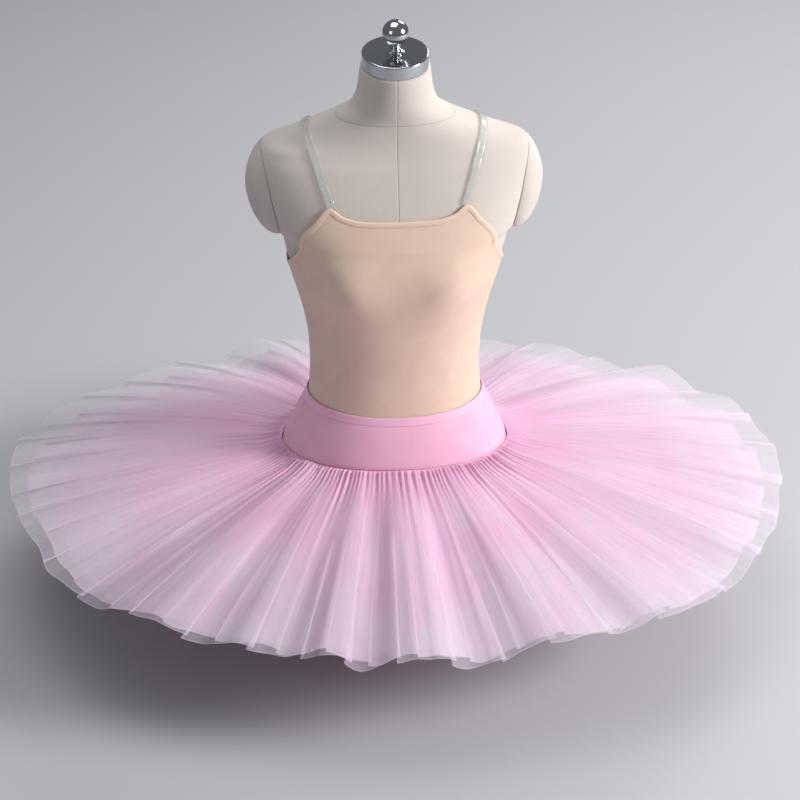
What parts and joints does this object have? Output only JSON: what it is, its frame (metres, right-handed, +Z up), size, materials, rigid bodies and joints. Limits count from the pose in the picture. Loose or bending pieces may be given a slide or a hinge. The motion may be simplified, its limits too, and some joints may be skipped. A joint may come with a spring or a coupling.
{
  "type": "ballet tutu on dress form",
  "caption": "Pink pancake tutu with a nude camisole bodice, smooth basque and layered tulle plate skirt, standing on a limbless tabletop dress form with a steel neck cap.",
  "frame": {"origin": "on the floor, under the middle of the tutu's outline seen from above", "axes": "+Z up, the wearer's front towards -Y, +X to the right as seen from the front"},
  "size_m": [1.1108, 1.008, 0.8783],
  "materials": {
    "form_cover": "off-white cotton jersey stretched smooth over padding",
    "polished_steel": "polished steel",
    "nude_jersey": "nude stretch jersey with a soft satin sheen",
    "nude_binding": "nude stretch binding, folded and stitched",
    "clear_strap": "clear flexible plastic ribbon",
    "pink_jersey": "pink stretch jersey with a soft satin sheen",
    "pink_tulle": "pale pink stiff net, see-through",
    "foot_rubber": "black rubber"
  },
  "bodies": {
    "root": {"form_torso": "form_cover", "form_cap_left": "form_cover", "form_cap_right": "form_cover", "neck_cap": "polished_steel", "finial": "polished_steel", "foot_1": "foot_rubber", "foot_2": "foot_rubber", "foot_3": "foot_rubber", "foot_4": "foot_rubber", "bodice_front": "nude_jersey", "bodice_back": "nude_jersey", "bodice_binding": "nude_binding", "strap_left": "clear_strap", "strap_right": "clear_strap", "basque_front": "pink_jersey", "basque_back": "pink_jersey", "brief_front": "pink_jersey", "brief_back": "pink_jersey", "frill_1": "pink_tulle", "frill_2": "pink_tulle", "frill_3": "pink_tulle", "frill_4": "pink_tulle", "frill_5": "pink_tulle", "frill_6": "pink_tulle"}
  },
  "joints": []
}
